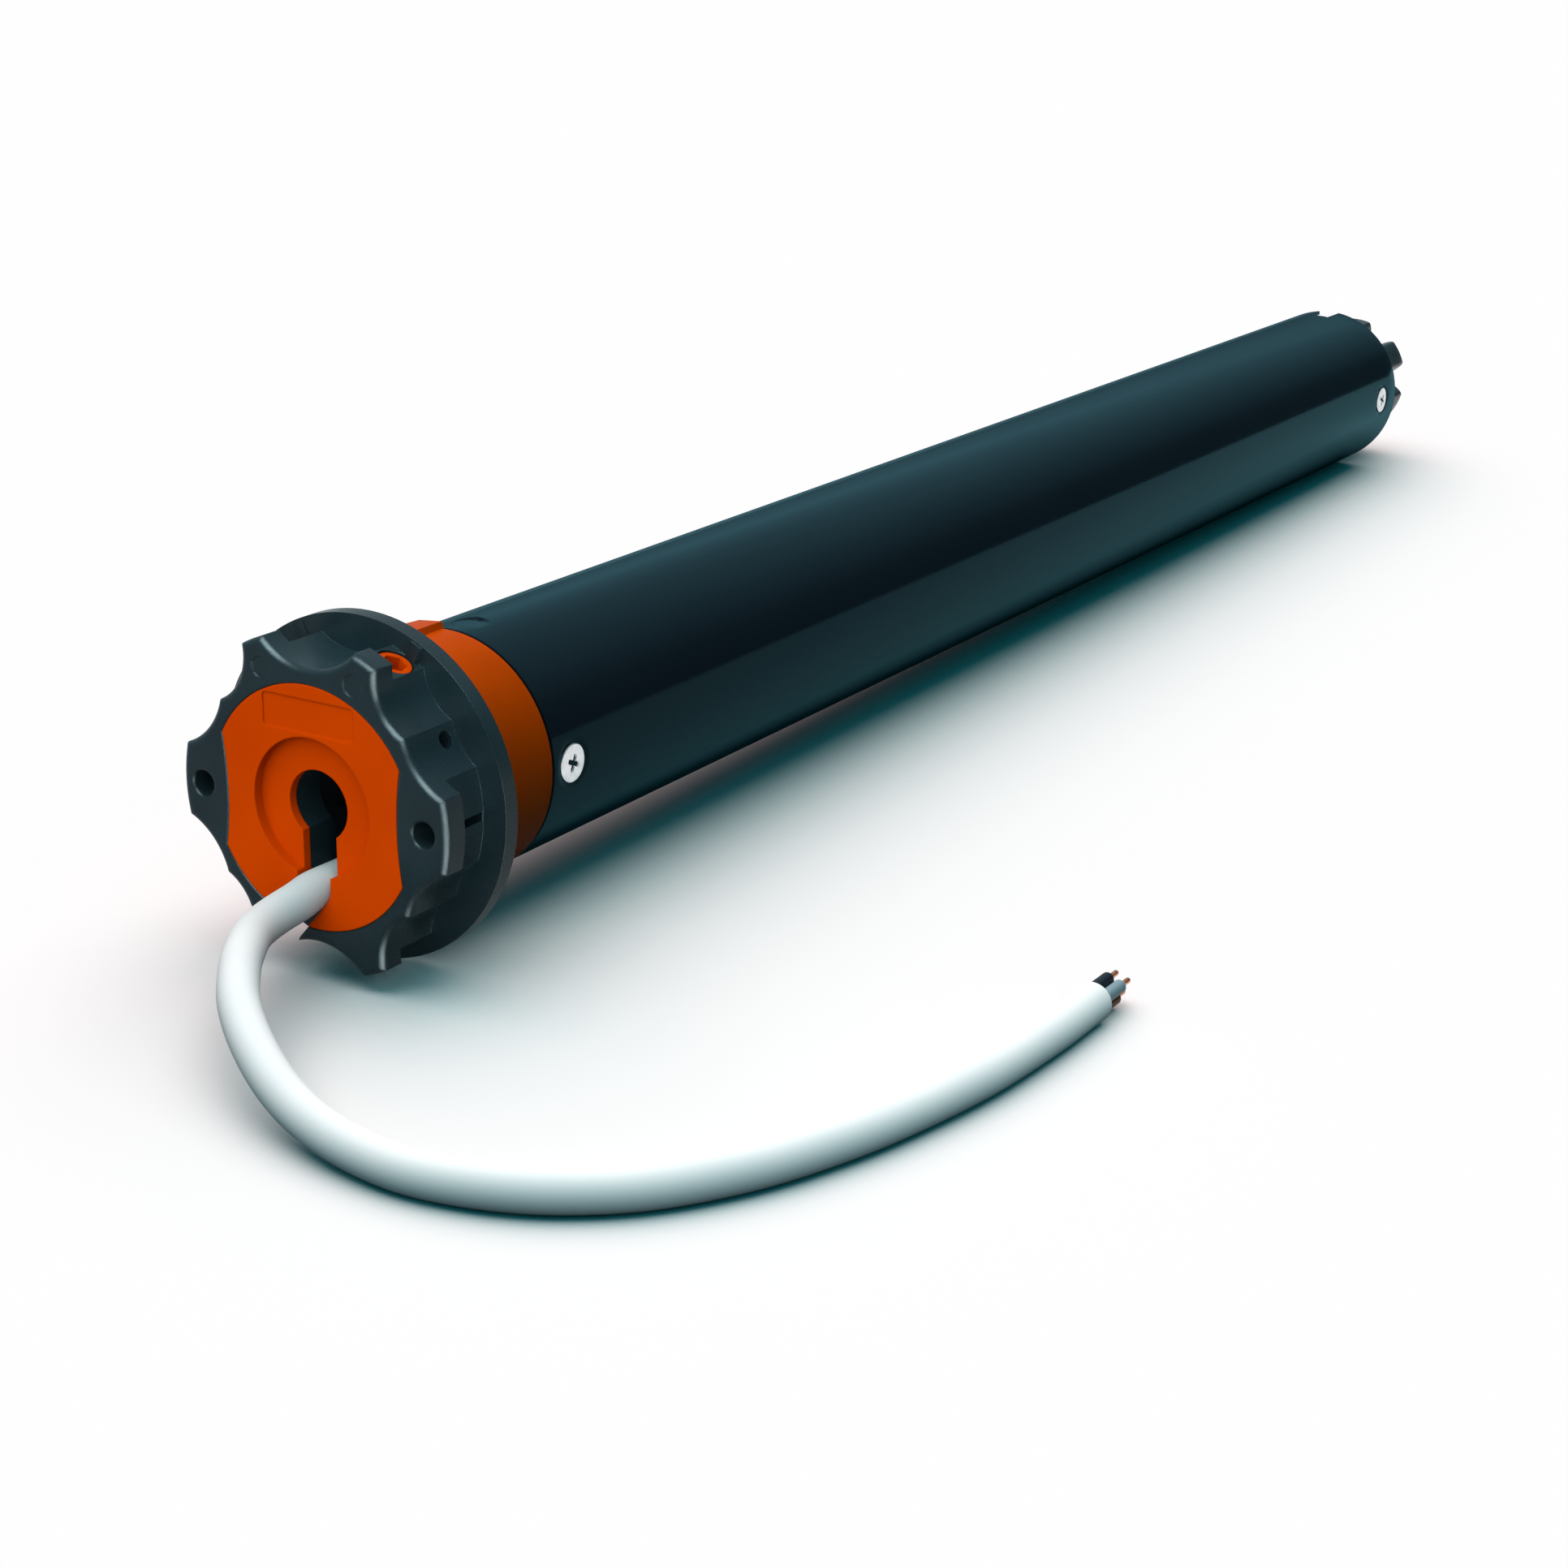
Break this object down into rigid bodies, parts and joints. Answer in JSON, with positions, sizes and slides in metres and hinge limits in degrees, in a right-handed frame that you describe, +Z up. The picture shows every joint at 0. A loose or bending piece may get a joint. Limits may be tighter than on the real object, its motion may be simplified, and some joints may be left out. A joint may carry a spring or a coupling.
{
  "type": "tubular roller blind motor",
  "caption": "Tubular roller blind motor: star head with fixing holes and keyhole cover, limit screws, crown ring, long steel tube, lobed drive wheel and a mains cable.",
  "frame": {"origin": "centre of the two fixing holes, on the head's flat mounting face", "axes": "+X along the motor's axis from the mounting face to the drive wheel, +Y across the fixing holes, +Z up, with the cable slot pointing to -Z"},
  "size_m": [0.5497, 0.1553, 0.0635],
  "materials": {
    "black_plastic": "glass-filled plastic with a fine spark-eroded grain, glossy on moulded edges",
    "orange_plastic": "moulded plastic, satin",
    "coated_steel": "glossy blue-black coating",
    "zinc_steel": "bright zinc plating",
    "white_pvc": "smooth matte sheath",
    "black_insulation": "satin",
    "grey_insulation": "satin",
    "brown_insulation": "satin",
    "earth_insulation": "satin",
    "copper": "bare copper, drawn",
    "circuit_board": "lacquered board",
    "wire_insulation": "satin",
    "dark_plastic": "moulded, satin",
    "bright_steel": "machined steel, lightly oiled",
    "acetal": "natural acetal, satin",
    "can_aluminium": "drawn can",
    "cast_zinc": "die-cast, as cast",
    "laminated_steel": "stacked laminations",
    "friction_lining": "pressed lining on a steel disc",
    "sintered_bronze": "sintered, oil-filled"
  },
  "bodies": {
    "housing": {"head_body": "black_plastic", "cover_plate": "orange_plastic", "neck_collar": "black_plastic", "motor_tube": "coated_steel", "tube_screws": "zinc_steel", "cable_plug": "black_plastic", "inlet_socket": "dark_plastic", "cable_jacket": "white_pvc", "core_black": "black_insulation", "core_grey": "grey_insulation", "core_brown": "brown_insulation", "core_earth": "earth_insulation", "core_strands": "copper", "terminal_board": "circuit_board", "supply_leads": "wire_insulation", "limit_frame": "dark_plastic", "capacitor": "can_aluminium", "capacitor_cradle": "dark_plastic", "end_shield_front": "cast_zinc", "end_shield_rear": "cast_zinc", "stator_core": "laminated_steel", "stator_winding": "copper", "bearing_outers": "bright_steel", "brake_housing": "cast_zinc", "brake_coil": "copper", "brake_spring": "bright_steel", "brake_back_plate": "cast_zinc", "gear_housing": "dark_plastic", "output_housing": "cast_zinc", "output_bush": "sintered_bronze"},
    "crown": {"crown_ring": "orange_plastic"},
    "screw_a": {"limit_screw_a": "orange_plastic"},
    "screw_b": {"limit_screw_b": "orange_plastic"},
    "rod_a": {"adjust_rod_a": "bright_steel"},
    "rod_b": {"adjust_rod_b": "bright_steel"},
    "spindle_a": {"limit_spindle_a": "bright_steel"},
    "spindle_b": {"limit_spindle_b": "bright_steel"},
    "nut_a": {"limit_nut_a": "acetal"},
    "nut_b": {"limit_nut_b": "acetal"},
    "carriage_a": {"switch_carriage_a": "dark_plastic"},
    "carriage_b": {"switch_carriage_b": "dark_plastic"},
    "rotor": {"rotor_shaft": "bright_steel", "rotor_core": "laminated_steel", "sun_gear": "bright_steel", "friction_disc": "friction_lining"},
    "armature": {"brake_armature": "bright_steel"},
    "carrier_a": {"carrier_1": "bright_steel"},
    "carrier_b": {"carrier_2": "bright_steel"},
    "output": {"output_shaft": "bright_steel", "drive_wheel": "black_plastic", "drive_screw": "zinc_steel"},
    "planet_1a": {"planet_1a": "acetal"},
    "planet_1b": {"planet_1b": "acetal"},
    "planet_1c": {"planet_1c": "acetal"},
    "planet_2a": {"planet_2a": "acetal"},
    "planet_2b": {"planet_2b": "acetal"},
    "planet_2c": {"planet_2c": "acetal"},
    "planet_3a": {"planet_3a": "acetal"},
    "planet_3b": {"planet_3b": "acetal"},
    "planet_3c": {"planet_3c": "acetal"}
  },
  "joints": [
    {"name": "crown_spin", "type": "hinge", "parent": "housing", "child": "crown", "pos_m": [0.027, 0, 0], "axis": [1, 0, 0], "range_deg": [-2160, 2160]},
    {"name": "spindle_a_spin", "type": "hinge", "parent": "housing", "child": "spindle_a", "pos_m": [0.06, 0.01406, 0], "axis": [1, 0, 0], "range_deg": [-8640, 8640]},
    {"name": "nut_a_travel", "type": "slide", "parent": "housing", "child": "nut_a", "axis": [1, 0, 0], "range_m": [-0.012, 0.012]},
    {"name": "carriage_a_travel", "type": "slide", "parent": "housing", "child": "carriage_a", "axis": [1, 0, 0], "range_m": [-0.00225, 0.00225]},
    {"name": "limit_a_turn", "type": "hinge", "parent": "housing", "child": "screw_a", "pos_m": [0.0097, 0, 0], "axis": [0, 0.4019, 0.9157], "range_deg": [-1080, 1080]},
    {"name": "rod_a_turn", "type": "hinge", "parent": "housing", "child": "rod_a", "pos_m": [0.06, 0.00482, 0.01099], "axis": [1, 0, 0], "range_deg": [-1080, 1080]},
    {"name": "spindle_b_spin", "type": "hinge", "parent": "housing", "child": "spindle_b", "pos_m": [0.06, -0.01406, 0], "axis": [1, 0, 0], "range_deg": [-8640, 8640]},
    {"name": "nut_b_travel", "type": "slide", "parent": "housing", "child": "nut_b", "axis": [1, 0, 0], "range_m": [-0.012, 0.012]},
    {"name": "carriage_b_travel", "type": "slide", "parent": "housing", "child": "carriage_b", "axis": [1, 0, 0], "range_m": [-0.00225, 0.00225]},
    {"name": "limit_b_turn", "type": "hinge", "parent": "housing", "child": "screw_b", "pos_m": [0.0097, 0, 0], "axis": [0, -0.4019, 0.9157], "range_deg": [-1080, 1080]},
    {"name": "rod_b_turn", "type": "hinge", "parent": "housing", "child": "rod_b", "pos_m": [0.06, -0.00482, 0.01099], "axis": [1, 0, 0], "range_deg": [-1080, 1080]},
    {"name": "rotor_spin", "type": "hinge", "parent": "housing", "child": "rotor", "pos_m": [0.25, 0, 0], "axis": [1, 0, 0], "continuous": true},
    {"name": "brake_release", "type": "slide", "parent": "housing", "child": "armature", "axis": [-1, 0, 0], "range_m": [0, 0.00035], "stiffness_N_per_m": 8000, "springref_m": -0.0005},
    {"name": "carrier_1_spin", "type": "hinge", "parent": "housing", "child": "carrier_a", "pos_m": [0.366, 0, 0], "axis": [1, 0, 0], "continuous": true},
    {"name": "carrier_2_spin", "type": "hinge", "parent": "housing", "child": "carrier_b", "pos_m": [0.386, 0, 0], "axis": [1, 0, 0], "continuous": true},
    {"name": "output_spin", "type": "hinge", "parent": "housing", "child": "output", "pos_m": [0.44, 0, 0], "axis": [1, 0, 0], "continuous": true},
    {"name": "planet_1a_spin", "type": "hinge", "parent": "carrier_a", "child": "planet_1a", "pos_m": [0.359, 0.01155, 0], "axis": [1, 0, 0], "continuous": true},
    {"name": "planet_1b_spin", "type": "hinge", "parent": "carrier_a", "child": "planet_1b", "pos_m": [0.359, -0.00577, 0.01], "axis": [1, 0, 0], "continuous": true},
    {"name": "planet_1c_spin", "type": "hinge", "parent": "carrier_a", "child": "planet_1c", "pos_m": [0.359, -0.00577, -0.01], "axis": [1, 0, 0], "continuous": true},
    {"name": "planet_2a_spin", "type": "hinge", "parent": "carrier_b", "child": "planet_2a", "pos_m": [0.377, 0.01155, 0], "axis": [1, 0, 0], "continuous": true},
    {"name": "planet_2b_spin", "type": "hinge", "parent": "carrier_b", "child": "planet_2b", "pos_m": [0.377, -0.00577, 0.01], "axis": [1, 0, 0], "continuous": true},
    {"name": "planet_2c_spin", "type": "hinge", "parent": "carrier_b", "child": "planet_2c", "pos_m": [0.377, -0.00577, -0.01], "axis": [1, 0, 0], "continuous": true},
    {"name": "planet_3a_spin", "type": "hinge", "parent": "output", "child": "planet_3a", "pos_m": [0.399, 0.01155, 0], "axis": [1, 0, 0], "continuous": true},
    {"name": "planet_3b_spin", "type": "hinge", "parent": "output", "child": "planet_3b", "pos_m": [0.399, -0.00577, 0.01], "axis": [1, 0, 0], "continuous": true},
    {"name": "planet_3c_spin", "type": "hinge", "parent": "output", "child": "planet_3c", "pos_m": [0.399, -0.00577, -0.01], "axis": [1, 0, 0], "continuous": true}
  ],
  "couplings": [
    {"joint": "spindle_a_spin", "follows": "crown_spin", "ratio": 4},
    {"joint": "nut_a_travel", "follows": "crown_spin", "m_per_rad": -0.0003183},
    {"joint": "limit_a_turn", "follows": "carriage_a_travel", "rad_per_m": 8377.6},
    {"joint": "rod_a_turn", "follows": "carriage_a_travel", "rad_per_m": -8377.6},
    {"joint": "spindle_b_spin", "follows": "crown_spin", "ratio": 4},
    {"joint": "nut_b_travel", "follows": "crown_spin", "m_per_rad": -0.0003183},
    {"joint": "limit_b_turn", "follows": "carriage_b_travel", "rad_per_m": 8377.6},
    {"joint": "rod_b_turn", "follows": "carriage_b_travel", "rad_per_m": -8377.6},
    {"joint": "carrier_1_spin", "follows": "rotor_spin", "ratio": 0.18182},
    {"joint": "carrier_2_spin", "follows": "rotor_spin", "ratio": 0.033058},
    {"joint": "output_spin", "follows": "rotor_spin", "ratio": 0.0060105},
    {"joint": "planet_1a_spin", "follows": "rotor_spin", "ratio": -0.46753},
    {"joint": "planet_1b_spin", "follows": "rotor_spin", "ratio": -0.46753},
    {"joint": "planet_1c_spin", "follows": "rotor_spin", "ratio": -0.46753},
    {"joint": "planet_2a_spin", "follows": "rotor_spin", "ratio": -0.085006},
    {"joint": "planet_2b_spin", "follows": "rotor_spin", "ratio": -0.085006},
    {"joint": "planet_2c_spin", "follows": "rotor_spin", "ratio": -0.085006},
    {"joint": "planet_3a_spin", "follows": "rotor_spin", "ratio": -0.015456},
    {"joint": "planet_3b_spin", "follows": "rotor_spin", "ratio": -0.015456},
    {"joint": "planet_3c_spin", "follows": "rotor_spin", "ratio": -0.015456}
  ]
}
